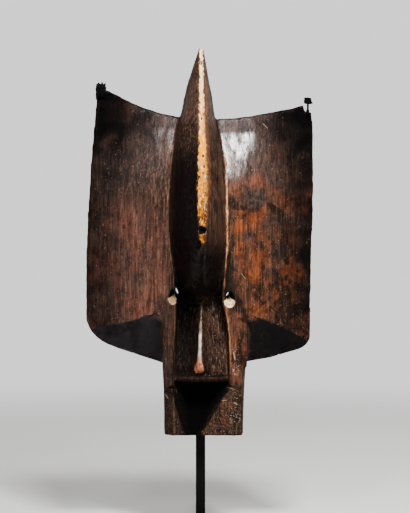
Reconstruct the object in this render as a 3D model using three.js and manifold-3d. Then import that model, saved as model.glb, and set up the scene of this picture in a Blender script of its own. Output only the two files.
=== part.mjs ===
// A carved wooden animal mask with two broad ears and a keeled crest, held upright on a steel stand.
// Millimetres, +Z up. The mask looks along -Y, and +X is on the right of somebody facing it.
// The origin is the centre of the underside of the stand's foot.
import * as THREE from 'three';
import { mergeVertices } from 'three/addons/utils/BufferGeometryUtils.js';
import Module from 'manifold-3d';

const wasm = await Module();
wasm.setup();

// Driving sizes of the mask. Heights are measured up from the lower edge of its jaw, depths forward from
// the plane of its back rim, and x from the line of its nose.
const maskHeight = 658;
const faceDepth = 118;
const crestDepth = 214;
const noseTop = 236;
const eyeRise = 19;
const eyeHoles = [
  { x: -47.5, z: 236, width: 16, height: 25, turn: -12 },
  { x: 48.4, z: 232, width: 17.4, height: 26.5, turn: 9 },
];

// Driving sizes of the stand.
const foot = { width: 220, depth: 200, thickness: 10, chamfer: 2 };
const rod = { side: 16, x: -1 };
const saddleBlock = { width: 56, depth: 30, height: 34 };
const clearUnderMask = 160;
const footCentreDepth = 85;

// Touching pieces keep a small gap. Cutting shapes run out past the wood.
const gap = 0.3;
const pastFront = 300;
const pastSide = 260;
const maskLift = foot.thickness + clearUnderMask;

// The sunk channel down the middle of the face, between two carved edges, as curves of [height, value].
const channel = {
  bottom: 82,
  left: curve([[80, 46], [130, 46], [165, 44], [200, 41.5], [265, 44], [315, 50], [362, 55], [410, 54],
    [470, 48], [538, 40], [700, 37]]),
  right: curve([[80, 48], [130, 47], [165, 47], [198, 42], [228, 35], [265, 35.5], [315, 39.5], [362, 41],
    [410, 40], [470, 35.5], [538, 25], [700, 22]]),
  floor: curve([[80, 104], [100, 104], [150, 96], [215, 88], [260, 88], [330, 98], [460, 98], [540, 90],
    [700, 84]]),
};

// The nose is a broad swelling of the channel's floor with a narrow ridge on it, which ends over the lip.
const nose = {
  swell: curve([[84, 6], [101, 9], [150, 11], [200, 9], [noseTop, 0], [noseTop + 4, 0]]),
  ridge: curve([[105, 0], [107, 1], [112, 11], [119, 17], [150, 16], [190, 12], [222, 8], [noseTop, 0],
    [noseTop + 4, 0]]),
  half: curve([[101, 8], [112, 7.5], [118, 5], [130, 3.2], [160, 2], [noseTop, 1.8]]),
  flank: 5,
};

// The crest hangs forward over the nose like a beak and tapers upwards to a tip.
const crest = {
  bottom: 224,
  ridge: curve([[224, 98], [232, 108], [244, 122], [260, 142], [285, 166], [305, 186], [318, 202],
    [327, crestDepth], [345, 212], [400, 197], [460, 178], [520, 156], [580, 128], [625, 105],
    [maskHeight, 86]]),
  ridgeHalf: curve([[224, 8], [245, 8], [275, 4.5], [327, 5.5], [360, 7], [395, 9], [425, 9], [532, 6.5],
    [600, 5], [maskHeight, 3]]),
  ridgeMiddle: curve([[224, 0], [270, 0.5], [320, 2.5], [408, 3.4], [530, 1.7], [maskHeight, 0]]),
  left: curve([[224, 14], [231, 28], [241, 40], [275, 46], [300, 50], [362, 56], [410, 55], [470, 49],
    [540, 36], [575, 29], [610, 20.5], [640, 11.5], [maskHeight, 4]]),
  right: curve([[224, 12], [231, 24], [241, 33], [275, 37], [300, 39], [362, 42], [410, 41], [470, 36],
    [540, 24], [575, 20.5], [610, 13], [640, 8], [maskHeight, 4]]),
  base: curve([[224, 84], [300, 92], [460, 92], [540, 88], [600, 82], [maskHeight, 74]]),
  back: curve([[224, 78], [460, 74], [540, 63], [600, 62], [maskHeight, 66]]),
};

// The ears: how far out they reach, how far their faces lean, sweep back and hollow, how their inner tops are
// scooped back beside the crest, how thick they are, and the chip out of the right one's upper corner.
const ears = {
  outer: {
    left: curve([[110, 195], [230, 195], [305, 195.2], [370, 192.7], [450, 187.8], [620, 173]]),
    right: curve([[110, 185], [262, 187.2], [347, 189.6], [432, 191.4], [520, 190], [620, 186]]),
  },
  sweep: {
    left: curve([[100, 25], [200, 23.5], [400, 17], [600, 8]]),
    right: curve([[100, 39], [200, 36], [400, 24], [600, 12]]),
  },
  curl: { left: 1.3, right: 1.8 },
  lean: curve([[100, 0], [360, 0], [460, 3], [540, 8], [620, 15]]),
  dish: curve([[100, 1], [220, 4], [400, 9], [600, 12]]),
  scoop: curve([[385, 0], [430, 3], [470, 10], [510, 19], [545, 26], [620, 34]]),
  scoopEnd: 0.85,
  faceX: 44,
  rootBack: curve([[100, 59], [240, 59], [420, 57], [540, 54], [620, 56]]),
  rootX: 68,
  edgeThickness: 8,
  topLeft: [[-177, 593], [-145, 578.5], [-95, 556], [-42, 541.5], [-10, 538]],
  topRight: [[10, 537], [65, 540], [120, 549.5], [150, 554], [174.5, 561]],
  chipRight: [[175, 548.5], [198, 549.5]],
  cornerLeft: [[-160, 154], [-190, 168], [-198, 207]],
  cornerRight: [[189, 182], [187.5, 152], [166, 144.5]],
};

// The slope that cuts the ears off below: its height at the back rim's plane, and its rise for each
// millimetre forward. It starts beside the muzzle and is rounded into it.
const underside = { atBack: 27.5, slope: 1.585, leftX: -65, rightX: 77.5, rounding: 7 };

// The hood behind the face and the hollow in it for the wearer's head. The hood is the front of the muzzle
// too, and goes back behind the ears between the heights shownTo and hiddenFrom.
const hood = {
  top: 484,
  left: curve([[0, 62.5], [70, 63], [126, 65], [150, 72], [200, 88], [260, 96], [345, 95], [390, 90],
    [420, 81], [445, 68], [465, 50], [484, 18]]),
  right: curve([[0, 72], [60, 72.5], [90, 75], [130, 77], [150, 80], [200, 90], [260, 96], [345, 95],
    [390, 90], [420, 81], [445, 68], [465, 50], [484, 18]]),
  back: curve([[0, 0], [340, 0], [380, 5], [410, 14], [435, 26], [455, 40], [470, 54], [484, 70]]),
  setBack: curve([[0, 0], [140, 0], [215, 32], [484, 34]]),
  shownTo: 140,
  hiddenFrom: 215,
  corner: 12,
};
const hollow = {
  top: 446,
  half: curve([[0, 50], [100, 52], [150, 58], [200, 72], [260, 80], [345, 79], [385, 73], [412, 62],
    [432, 46], [446, 22]]),
  front: curve([[0, 80], [88, 61], [130, 68], [200, 72], [260, 76], [380, 76], [412, 70], [432, 58],
    [446, 40]]),
  corner: 22,
};

// The muzzle: an upper lip that bows forward, and a flat jaw with the mouth scooped into it.
const lip = {
  top: 101, bottom: 88, left: -47, right: 48, rootDepth: 84, endDepth: 112, middleDepth: 122, undercut: 9,
};
const jaw = { ledge: 62, ledgeDepth: 112, edgeDepth: 106, cheekTop: 85, cheekDepth: 115, cornerX: -46,
  chamfer: 14 };
const mouth = {
  bottom: 3,
  left: curve([[3, -16], [12, -22], [40, -29], [62, -36], [88, -46]]),
  right: curve([[3, -6], [14, 2], [37, 15], [55, 26], [75, 40], [88, 47.5]]),
  floor: curve([[3, 107], [9, 100], [30, 90], [60, 81], [88, 77]]),
};

// The lumps of each knotted ear tie, as their middles [x, depth, height] and sizes. The left one is wound
// over the corner of its ear, with three ends that stick up. The right one is a knot on a stem in the chip.
const leftTieLumps = [
  { at: [-169.5, 90, 583], size: [18, 26, 22] },
  { at: [-174.5, 89, 577], size: [8, 25, 22] },
  { at: [-168, 90, 577.5], size: [10, 27, 15] },
  { at: [-173, 90, 593], size: [5, 9, 12] },
  { at: [-168.2, 89, 593.5], size: [5, 9, 12] },
  { at: [-164, 90, 592], size: [5, 9, 12] },
];
const rightTieLumps = [
  { at: [181, 88, 546.5], size: [8, 22, 9] },
  { at: [181.5, 88, 556], size: [4, 5, 20] },
  { at: [179, 88, 568.5], size: [9, 11, 11] },
  { at: [185, 88, 568], size: [10, 11, 11] },
  { at: [187.5, 88, 565.5], size: [7, 8, 6] },
];

// A smooth curve through a few [position, value] points, level beyond both ends.
function curve(points) {
  const last = points.length - 1;
  const slopes = points.map((_, i) => {
    const before = points[Math.max(i - 1, 0)];
    const after = points[Math.min(i + 1, last)];
    return (after[1] - before[1]) / (after[0] - before[0]);
  });
  return (at) => {
    if (at <= points[0][0]) return points[0][1];
    if (at >= points[last][0]) return points[last][1];
    const i = points.findIndex(([position]) => position > at) - 1;
    const [[p0, v0], [p1, v1]] = [points[i], points[i + 1]];
    const span = p1 - p0;
    const t = (at - p0) / span;
    const ends = (2 * t ** 3 - 3 * t ** 2 + 1) * v0 + (3 * t ** 2 - 2 * t ** 3) * v1;
    const tangents = (t ** 3 - 2 * t ** 2 + t) * slopes[i] + (t ** 3 - t ** 2) * slopes[i + 1];
    const overshoot = 2;
    return THREE.MathUtils.clamp(
      ends + tangents * span,
      Math.min(v0, v1) - overshoot,
      Math.max(v0, v1) + overshoot,
    );
  };
}

// Evenly spaced numbers from the first to the last.
function spread(first, last, count) {
  return Array.from({ length: count }, (_, i) => first + ((last - first) * i) / (count - 1));
}

function vectors(points) {
  return points.map(([a, b]) => new THREE.Vector2(a, b));
}

// A closed geometry as a manifold-3d solid, turned right side out.
function solid(geometry) {
  const bare = geometry.clone();
  bare.deleteAttribute('normal');
  bare.deleteAttribute('uv');
  const merged = mergeVertices(bare, 1e-4);
  const triVerts = new Uint32Array(merged.index.array);
  const vertProperties = new Float32Array(merged.attributes.position.array);
  const made = new wasm.Manifold(new wasm.Mesh({ numProp: 3, vertProperties, triVerts }));
  if (made.volume() > 0) return made;
  for (let i = 0; i < triVerts.length; i += 3) {
    [triVerts[i + 1], triVerts[i + 2]] = [triVerts[i + 2], triVerts[i + 1]];
  }
  return new wasm.Manifold(new wasm.Mesh({ numProp: 3, vertProperties, triVerts }));
}

// A manifold-3d solid as a three.js geometry.
function geometryOf(body) {
  const mesh = body.getMesh();
  const geometry = new THREE.BufferGeometry();
  geometry.setAttribute('position', new THREE.BufferAttribute(new Float32Array(mesh.vertProperties), 3));
  geometry.setIndex(new THREE.BufferAttribute(new Uint32Array(mesh.triVerts), 1));
  return geometry;
}

// The largest body of a solid that a cut has left in pieces.
function largest(body) {
  return body.decompose().sort((a, b) => b.volume() - a.volume())[0];
}

// A solid through level sections. Each section is a ring of [x, depth] points at its own height.
function loft(heights, ring) {
  const rings = heights.map((z) => ring(z).map(([x, depth]) => new THREE.Vector3(x, -depth, z)));
  const count = rings[0].length;
  const index = [];
  for (let row = 0; row + 1 < rings.length; row += 1) {
    for (let j = 0; j < count; j += 1) {
      const next = (j + 1) % count;
      const [a, b] = [row * count + j, row * count + next];
      index.push(a, b, b + count, a, b + count, a + count);
    }
  }
  const clockwise = THREE.ShapeUtils.isClockWise(rings[0]);
  for (const [row, flip] of [[0, !clockwise], [rings.length - 1, clockwise]]) {
    for (const [a, b, c] of THREE.ShapeUtils.triangulateShape(rings[row], [])) {
      index.push(...(flip ? [a, c, b] : [a, b, c]).map((corner) => corner + row * count));
    }
  }
  const geometry = new THREE.BufferGeometry().setFromPoints(rings.flat());
  geometry.setIndex(index);
  return solid(geometry);
}

// A shape drawn in the front view, as [x, height] points, carried through the whole depth. It can climb by a
// part of each millimetre forward.
function throughDepth(points, climb = 0) {
  const shape = new THREE.Shape(vectors(points));
  const geometry = new THREE.ExtrudeGeometry(shape, { depth: 2 * pastFront, bevelEnabled: false });
  geometry.rotateX(Math.PI / 2);
  geometry.translate(0, pastFront, 0);
  geometry.applyMatrix4(new THREE.Matrix4().makeShear(0, 0, 0, -climb, 0, 0));
  return solid(geometry);
}

// A shape drawn in the side view, as [depth, height] points, carried across the width.
function acrossWidth(points, left, right) {
  const shape = new THREE.Shape(vectors(points.map(([depth, z]) => [-depth, z])));
  const geometry = new THREE.ExtrudeGeometry(shape, { depth: right - left, bevelEnabled: false });
  geometry.rotateY(Math.PI / 2);
  geometry.rotateX(Math.PI / 2);
  geometry.translate(left, 0, 0);
  return solid(geometry);
}

// How far forward the face of an ear stands.
function earFace(side, x, z) {
  const outer = ears.outer[side](z);
  const u = THREE.MathUtils.clamp((x - ears.faceX) / (outer - ears.faceX), 0, 1);
  const dished = ears.dish(z) * Math.sin(Math.PI * u) ** 2;
  const scooped = ears.scoop(z) * (1 - THREE.MathUtils.smoothstep(u, 0, ears.scoopEnd));
  return faceDepth - ears.lean(z) - ears.sweep[side](z) * u ** ears.curl[side] - dished - scooped;
}

// One ear with its root, before its outline is cut.
function earBlank(side) {
  const sign = side === 'left' ? -1 : 1;
  const innerX = 12;
  return loft(spread(100, 610, 15), (z) => {
    const outer = ears.outer[side](z);
    const rim = earFace(side, outer, z);
    const face = [innerX, ...spread(40, outer - 5, 10)].map((x) => [x, earFace(side, x, z)]);
    const edge = [[outer, rim - ears.edgeThickness * 0.35], [outer, rim - ears.edgeThickness * 0.7]];
    const back = [[outer - 4, rim - ears.edgeThickness], [ears.rootX, ears.rootBack(z)],
      [innerX, ears.rootBack(z)]];
    return [...face, ...edge, ...back].map(([x, depth]) => [sign * x, depth]);
  });
}

// The outline of both ears in the front view, with swooping top edges and round lower corners.
function earOutline() {
  const swoop = (points) => new THREE.SplineCurve(vectors(points)).getPoints(12);
  const corner = (points) => new THREE.QuadraticBezierCurve(...vectors(points)).getPoints(6);
  const outline = [
    ...corner(ears.cornerLeft),
    new THREE.Vector2(-204, 400),
    ...swoop(ears.topLeft),
    ...swoop(ears.topRight),
    ...vectors(ears.chipRight),
    new THREE.Vector2(198, 400),
    ...corner(ears.cornerRight),
    ...vectors([[60, 112], [0, 106], [-60, 112]]),
  ];
  return throughDepth(outline.map((point) => point.toArray()));
}

// What is cut off below the ears: one slope on each side that falls away to the back, with a hollow rounding
// where it meets the muzzle.
function undersideCut() {
  const { atBack, leftX, rightX, rounding, slope } = underside;
  const height = (depth) => atBack + slope * depth;
  const below = [[-60, -100], [-60, height(-60)], [pastFront, height(pastFront)], [pastFront, -100]];
  const fillet = (x, sign) => {
    const hollow = spread(0, Math.PI / 2, 5).map((angle) => [
      x + sign * rounding * (1 - Math.sin(angle)),
      atBack - rounding * (1 - Math.cos(angle)),
    ]);
    return throughDepth([[x - sign, atBack + 1], ...hollow, [x - sign, atBack - rounding]], slope);
  };
  return acrossWidth(below, -pastSide, leftX)
    .add(acrossWidth(below, rightX, pastSide))
    .subtract(fillet(leftX, -1))
    .subtract(fillet(rightX, 1));
}

// A quarter turn or more round a corner of a level section.
function arc(centreX, centreDepth, radius, from, to) {
  return spread(from, to, 4).map((angle) => [centreX + radius * Math.cos(angle),
    centreDepth + radius * Math.sin(angle)]);
}

// The hood: rounded behind, and a little narrower in front on its right side. Its front follows the faces
// of the ears.
function hoodBody() {
  const heights = [0, 40, 80, 126, 140, 158, 176, 195, 215, 250, 300, 345, 370, 390, 410, 430, 447, 460, 472,
    hood.top];
  return loft(heights, (z) => {
    const [left, right, back] = [hood.left(z), hood.right(z), hood.back(z)];
    const shown = 1 - THREE.MathUtils.smoothstep(z, hood.shownTo, hood.hiddenFrom);
    const face = (side, x) => faceDepth - hood.setBack(z) - (faceDepth - earFace(side, x, z)) * shown;
    const deep = face('right', ears.faceX) - back;
    const corner = Math.min(hood.corner, deep * 0.45, left * 0.45);
    return [
      [-left, face('left', left)],
      ...arc(corner - left, back + corner, corner, Math.PI, 1.5 * Math.PI),
      ...arc(right - corner, back + corner, corner, 1.5 * Math.PI, 2 * Math.PI),
      [right, back + deep * 0.7],
      [right - 4, face('right', right - 4)],
      [Math.min(right - 5, ears.faceX), face('right', ears.faceX)],
      [Math.max(1 - left, -ears.faceX), face('left', ears.faceX)],
    ];
  });
}

// The space that the head goes into. It is open behind and below.
function hollowSpace() {
  const heights = [-15, 40, 88, 130, 165, 200, 240, 300, 345, 370, 390, 410, 424, 436, hollow.top];
  return loft(heights, (z) => {
    const half = hollow.half(z);
    const corner = Math.min(hollow.corner, half - 2);
    const centreDepth = hollow.front(z) - corner;
    return [
      [-half - 4, -12],
      [-half, 14],
      ...arc(corner - half, centreDepth, corner, Math.PI, Math.PI / 2),
      ...arc(half - corner, centreDepth, corner, Math.PI / 2, 0),
      [half, 14],
      [half + 4, -12],
    ];
  });
}

// The wood that is cut out of the channel. The nose is left standing on its floor.
function channelSpace() {
  const heights = [channel.bottom, 101, 107, 110, 113, 118, 126, 138, 152, 170, 190, 208, 222, noseTop,
    ...spread(260, 660, 17)];
  return loft(heights, (z) => {
    const [left, right] = [channel.left(z), channel.right(z)];
    const half = nose.half(z);
    const slope = (sign, wall) => [1, 0.8, 0.6, 0.4, 0.24, 0.13, 0.05, 0].map((t) => {
      const away = (wall - half) * t;
      const ridge = nose.ridge(z) * Math.exp(-((away / nose.flank) ** 2));
      return [sign * (half + away), channel.floor(z) + nose.swell(z) * (1 - t) ** 2 + ridge];
    });
    return [[-left, pastFront], ...slope(-1, left), ...slope(1, right).reverse(), [right, pastFront]];
  });
}

// The keeled crest: two bulging flanks that meet in a narrow flat ridge.
function crestBody() {
  const heights = [crest.bottom, 231, 238, 250, 270, 290, 305, 317, 325, 333, ...spread(350, 600, 13), 618,
    634, 645, maskHeight];
  return loft(heights, (z) => {
    const [left, right, base, ridge] = [crest.left(z), crest.right(z), crest.base(z), crest.ridge(z)];
    const half = Math.min(crest.ridgeHalf(z), left - 0.5, right - 0.5);
    const middle = crest.ridgeMiddle(z);
    const flank = (sign, width) => spread(0, 1, 6).map((t) => {
      const swell = Math.cos((t * Math.PI) / 2) ** 0.9;
      return [sign * (half + (width - half) * swell) + middle * (1 - swell), base + (ridge - base) * t];
    });
    const back = [[right * 0.6, crest.back(z)], [-left * 0.6, crest.back(z)]];
    return [...flank(-1, left), ...flank(1, right).reverse(), ...back];
  });
}

// The upper lip: a bar under the nose that bows forward, with its upper edge eased and its face undercut.
function upperLip() {
  const eased = 4;
  const bow = spread(lip.left, lip.right, 9).map((x) => {
    const drop = (lip.middleDepth - lip.endDepth) * (x / lip.right) ** 2;
    return [x, lip.middleDepth - drop];
  });
  const setBacks = new Map([[lip.bottom, lip.undercut], [lip.top - eased, 0], [lip.top, eased]]);
  return loft([...setBacks.keys()], (z) => {
    const setBack = setBacks.get(z);
    const front = bow.map(([x, depth]) => [x, depth - setBack]);
    return [[lip.left, lip.rootDepth], ...front, [lip.right, lip.rootDepth]];
  });
}

// What is cut away in front of the lower jaw: the flat face of the jaw, a step below the carved edges, the
// mouth scooped into it under the lip, and a chamfer down its left corner.
function jawCut() {
  const below = -10;
  const sideX = 100;
  const face = (z) => THREE.MathUtils.lerp(jaw.edgeDepth, jaw.ledgeDepth, z / jaw.ledge);
  const flat = acrossWidth([
    [pastFront, below],
    [face(below), below],
    [jaw.ledgeDepth, jaw.ledge],
    [jaw.cheekDepth, jaw.cheekTop],
    [pastFront, jaw.cheekTop],
  ], -sideX, sideX);
  const scoop = loft([mouth.bottom, 9, 20, 33, 46, jaw.ledge, 75, lip.bottom], (z) => {
    const [left, right, floor] = [mouth.left(z), mouth.right(z), mouth.floor(z)];
    const slope = (right - left) * 0.16;
    const brim = Math.max(face(z), floor) + 2;
    return [[left, pastFront], [left, brim], [left + slope, floor], [right - slope, floor], [right, brim],
      [right, pastFront]];
  });
  const corner = loft([below, jaw.ledge, jaw.cheekTop - 6], (z) => {
    const depth = z > jaw.ledge ? faceDepth : face(z);
    return [[jaw.cornerX, depth], [jaw.cornerX, pastFront], [-sideX, pastFront],
      [-sideX, depth - jaw.chamfer * 3], [underside.leftX + 3, depth - jaw.chamfer]];
  });
  return flat.add(scoop).add(corner);
}

// An eye hole. It rises and turns inwards as it goes in, so that its floor shows from in front.
function eyeHole({ x, z, width, height, turn: degrees }) {
  const rise = THREE.MathUtils.degToRad(eyeRise);
  const turn = THREE.MathUtils.degToRad(degrees);
  const geometry = new THREE.CylinderGeometry(0.5, 0.5, pastFront, 18);
  geometry.scale(width, 1, height);
  geometry.rotateX(rise);
  geometry.rotateZ(turn);
  geometry.translate(x - Math.tan(turn) * faceDepth, 0, z + Math.tan(rise) * faceDepth);
  return solid(geometry);
}

function carvedMask() {
  const wings = earBlank('left').add(earBlank('right')).intersect(earOutline());
  const noseBlock = acrossWidth([[60, 95], [150, 95], [150, noseTop], [60, noseTop]], -30, 30);
  return eyeHoles.reduce(
    (body, hole) => body.subtract(eyeHole(hole)),
    wings.add(hoodBody())
      .subtract(undersideCut())
      .add(noseBlock)
      .subtract(channelSpace())
      .add(crestBody())
      .add(upperLip())
      .subtract(jawCut())
      .subtract(hollowSpace()),
  );
}

// A knot of blackened binding, tied round the upper corner of an ear and kept clear of the wood.
function earTie(lumps, carving) {
  const knot = lumps.map(({ at: [x, depth, z], size }) => {
    const geometry = new THREE.IcosahedronGeometry(0.5, 2);
    geometry.scale(...size);
    geometry.translate(x, -depth, z);
    return solid(geometry);
  }).reduce((whole, lump) => whole.add(lump));
  const moves = [[gap, 0, 0], [0, gap, 0], [0, 0, gap]].flatMap((move) => [move, move.map((v) => -v)]);
  return largest(moves.reduce((rest, move) => rest.subtract(carving.translate(move)), knot));
}

// The saddle on top of the rod, shaped to the ceiling of the hollow that it carries.
function saddle(carving) {
  const geometry = new THREE.BoxGeometry(saddleBlock.width, saddleBlock.depth, saddleBlock.height);
  geometry.translate(rod.x, -rodDepth, saddleFoot + saddleBlock.height / 2);
  return largest(solid(geometry).subtract(carving.translate([0, 0, -gap])));
}

// The foot is a flat plate with its upper edges chamfered.
function footPlate() {
  const corners = (inset, z) => [[-1, -1], [1, -1], [1, 1], [-1, 1]]
    .map(([x, y]) => [x * (foot.width / 2 - inset), y * (foot.depth / 2 - inset), z]);
  const insets = new Map([[0, 0], [foot.thickness - foot.chamfer, 0], [foot.thickness, foot.chamfer]]);
  return loft([...insets.keys()], (z) => corners(insets.get(z), z));
}

// The rod stands just behind the jaw, whose back leans on it, and carries the saddle.
const rodDepth = hollow.front(lip.bottom) - gap - rod.side / 2;
const saddleFoot = hollow.top - 40;
const rodFoot = foot.thickness + gap - maskLift;
const rodLength = saddleFoot - gap - rodFoot;

const wood = new THREE.MeshStandardMaterial({ color: 0x3a2015, roughness: 0.42, metalness: 0 });
const binding = new THREE.MeshStandardMaterial({ color: 0x16110e, roughness: 0.85, metalness: 0 });
const blackSteel = new THREE.MeshStandardMaterial({ color: 0x18191a, roughness: 0.5, metalness: 0.7 });

function named(name, geometry, material) {
  const mesh = new THREE.Mesh(geometry, material);
  mesh.name = name;
  return mesh;
}

const carving = carvedMask();
const rodMesh = named('stand_rod', new THREE.BoxGeometry(rod.side, rod.side, rodLength), blackSteel);
rodMesh.position.set(rod.x, -rodDepth, rodFoot + rodLength / 2);

const raised = new THREE.Group();
raised.position.set(0, footCentreDepth, maskLift);
raised.add(
  named('carved_mask', geometryOf(carving), wood),
  named('left_ear_tie', geometryOf(earTie(leftTieLumps, carving)), binding),
  named('right_ear_tie', geometryOf(earTie(rightTieLumps, carving)), binding),
  named('stand_saddle', geometryOf(saddle(carving)), blackSteel),
  rodMesh,
);

const part = new THREE.Group();
part.add(named('stand_foot', geometryOf(footPlate()), blackSteel), raised);

export default part;
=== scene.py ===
import math

import bmesh
import bpy
import numpy as np
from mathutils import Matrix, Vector, kdtree, noise


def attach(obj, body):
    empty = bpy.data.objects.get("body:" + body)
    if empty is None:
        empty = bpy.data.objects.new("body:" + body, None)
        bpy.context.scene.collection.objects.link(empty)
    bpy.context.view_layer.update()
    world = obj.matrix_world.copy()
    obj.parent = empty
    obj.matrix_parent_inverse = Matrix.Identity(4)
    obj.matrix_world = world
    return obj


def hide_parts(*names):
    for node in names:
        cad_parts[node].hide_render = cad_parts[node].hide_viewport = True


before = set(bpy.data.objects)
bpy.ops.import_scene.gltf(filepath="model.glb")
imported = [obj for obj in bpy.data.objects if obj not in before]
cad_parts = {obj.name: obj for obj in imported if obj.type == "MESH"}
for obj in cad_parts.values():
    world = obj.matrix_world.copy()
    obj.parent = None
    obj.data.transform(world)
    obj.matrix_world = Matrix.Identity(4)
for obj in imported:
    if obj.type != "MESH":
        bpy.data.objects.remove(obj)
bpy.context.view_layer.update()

# A carved animal mask with two broad ears and a keeled crest, on its steel stand. Shapes are worked out
# in millimetres: x to the right of somebody facing the mask, depth forward from its back rim, and height
# up from the lower edge of its jaw.
MM = 0.001
FOOT_CENTRE_DEPTH = 85
MASK_LIFT = 170

# The floor's radius, and the distance from its middle at which it starts to fade, in metres.
FLOOR_RADIUS = 3.2
FLOOR_FADE = 0.9

# Where the lamps point, and how far from there they stand, in metres.
LAMP_AIM = Vector((0, -0.03, 0.5))
LAMP_DISTANCE = 2.2

# The camera looks level at the mask from this far in front of its ears.
CAMERA = {"x": 6.7, "height": 473, "plane": -35, "away": 2500, "mm_per_pixel": 1.68, "rows": 513}


def placed(x, depth, height):
    """A point of the mask as a point of the whole object, in metres."""
    return Vector((x, FOOT_CENTRE_DEPTH - depth, height + MASK_LIFT)) * MM


def mask_points(points):
    """Object points in metres as columns of x, depth and height on the mask, in millimetres."""
    x, y, z = (points / MM).T
    return np.stack([x, FOOT_CENTRE_DEPTH - y, z - MASK_LIFT], axis=1)


def ease(low, high, value):
    """0 below low, 1 above high, and a smooth rise between."""
    t = np.clip((value - low) / (high - low), 0, 1)
    return t * t * (3 - 2 * t)


def along(points, at):
    """Values between a few [position, value] points."""
    positions, values = zip(*points)
    return np.interp(at, positions, values)


def linear(hex_colour):
    """A colour as it is seen, written as six hex digits, as a linear colour."""
    channels = [int(hex_colour[i:i + 2], 16) / 255 for i in (0, 2, 4)]
    return [c / 12.92 if c <= 0.04045 else ((c + 0.055) / 1.055) ** 2.4 for c in channels] + [1.0]


# Camera, light and floor

def add_camera():
    data = bpy.data.cameras.new("camera")
    half_frame = CAMERA["rows"] * CAMERA["mm_per_pixel"] / 2
    data.lens = data.sensor_width / 2 / (half_frame / CAMERA["away"])
    data.clip_end = 50
    camera = bpy.data.objects.new("camera", data)
    bpy.context.scene.collection.objects.link(camera)
    camera.location = Vector((CAMERA["x"], CAMERA["plane"] - CAMERA["away"], CAMERA["height"])) * MM
    camera.rotation_euler = (math.pi / 2, 0, 0)
    bpy.context.scene.camera = camera


def add_lamp(name, azimuth, elevation, size, power):
    """A white studio lamp. Azimuth is to the right of the camera's side, elevation above the level."""
    data = bpy.data.lights.new(name, "AREA")
    data.shape = "RECTANGLE"
    data.size, data.size_y = size
    data.energy = power
    lamp = bpy.data.objects.new(name, data)
    bpy.context.scene.collection.objects.link(lamp)
    a, e = math.radians(azimuth), math.radians(elevation)
    away = Vector((math.sin(a) * math.cos(e), -math.cos(a) * math.cos(e), math.sin(e)))
    lamp.location = LAMP_AIM + away * LAMP_DISTANCE
    lamp.rotation_euler = away.to_track_quat("Z", "Y").to_euler()


def add_world(ambient, behind, seen):
    """The room: dim in front of the mask and brighter behind it, and seen as one plain pale tone."""
    world = bpy.data.worlds.new("studio")
    world.use_nodes = True
    nodes, link = world.node_tree.nodes, world.node_tree.links.new
    light, plain = nodes["Background"], nodes.new("ShaderNodeBackground")
    plain.inputs["Strength"].default_value = seen
    plain.inputs["Color"].default_value = light.inputs["Color"].default_value = (1, 1, 1, 1)
    direction, axes = nodes.new("ShaderNodeTexCoord"), nodes.new("ShaderNodeSeparateXYZ")
    strength, ray, pick = (nodes.new("ShaderNode" + kind) for kind in ("MapRange", "LightPath", "MixShader"))
    for name, value in {"From Min": 0.1, "From Max": 0.9, "To Min": ambient, "To Max": behind}.items():
        strength.inputs[name].default_value = value
    link(direction.outputs["Generated"], axes.inputs[0])
    link(axes.outputs["Y"], strength.inputs["Value"])
    link(strength.outputs[0], light.inputs["Strength"])
    link(ray.outputs["Is Camera Ray"], pick.inputs[0])
    link(light.outputs[0], pick.inputs[1])
    link(plain.outputs[0], pick.inputs[2])
    link(pick.outputs[0], nodes["World Output"].inputs["Surface"])
    bpy.context.scene.world = world


def add_floor(material):
    """A round floor that fades into the room's plain tone."""
    mesh = bmesh.new()
    bmesh.ops.create_circle(mesh, cap_ends=True, segments=96, radius=FLOOR_RADIUS)
    floor = new_object("studio_floor", mesh)
    floor.data.materials.append(material)


# Meshes

def new_object(name, mesh):
    data = bpy.data.meshes.new(name)
    mesh.to_mesh(data)
    mesh.free()
    made = bpy.data.objects.new(name, data)
    bpy.context.scene.collection.objects.link(made)
    return made


def shade_smooth(piece):
    piece.data.polygons.foreach_set("use_smooth", np.ones(len(piece.data.polygons), bool))


def baked(piece):
    """Works a piece's modifiers into its mesh."""
    graph = bpy.context.evaluated_depsgraph_get()
    mesh = bpy.data.meshes.new_from_object(piece.evaluated_get(graph))
    piece.modifiers.clear()
    old, piece.data = piece.data, mesh
    bpy.data.meshes.remove(old)


def points_of(mesh, what="vertices", field="co"):
    items = getattr(mesh, what)
    values = np.empty(len(items) * 3)
    items.foreach_get(field, values)
    return values.reshape(-1, 3)


def edge_ends(mesh):
    ends = np.empty(len(mesh.edges) * 2, int)
    mesh.edges.foreach_get("vertices", ends)
    return ends.reshape(-1, 2)


def relaxed(points, ends, weight, rounds):
    """Points drawn towards the middle of their neighbours, each by its own weight."""
    count = len(points)
    start, end = ends.T
    neighbours = np.bincount(start, minlength=count) + np.bincount(end, minlength=count)
    for _ in range(rounds):
        for axis in range(3):
            line = points[:, axis]
            middle = np.bincount(start, line[end], count) + np.bincount(end, line[start], count)
            points[:, axis] += (middle / neighbours - line) * weight
    return points


def set_attribute(piece, name, values):
    attribute = piece.data.attributes.new(name, "FLOAT", "POINT")
    attribute.data.foreach_set("value", np.asarray(values, np.float32))


def noise_at(points, size, seed, stretch=1.0):
    """Smooth noise from about -1 to 1. Its grain is so many millimetres across, and longer upwards by the
    stretch."""
    scaled = points / np.array([size, size, size * stretch]) + np.array([seed, -seed * 0.7, seed * 1.3])
    return np.array([noise.noise(p) for p in scaled])


def dimples_at(points, size, seed, stretch):
    """Shallow scoops beside each other, from 0 at their middles to about 1 at their shared rims."""
    scaled = points / np.array([size, size, size * stretch]) + np.array([seed, seed * 0.4, -seed])
    return np.array([noise.voronoi(p)[0][0] for p in scaled])


# The carving

# The side of the even mesh's cells, the angle from which an edge counts as sharp, and how near two corners
# of the solid lie when they are one.
VOXEL = 2.67
SHARP = math.radians(32)
WELD = 0.05

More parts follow.
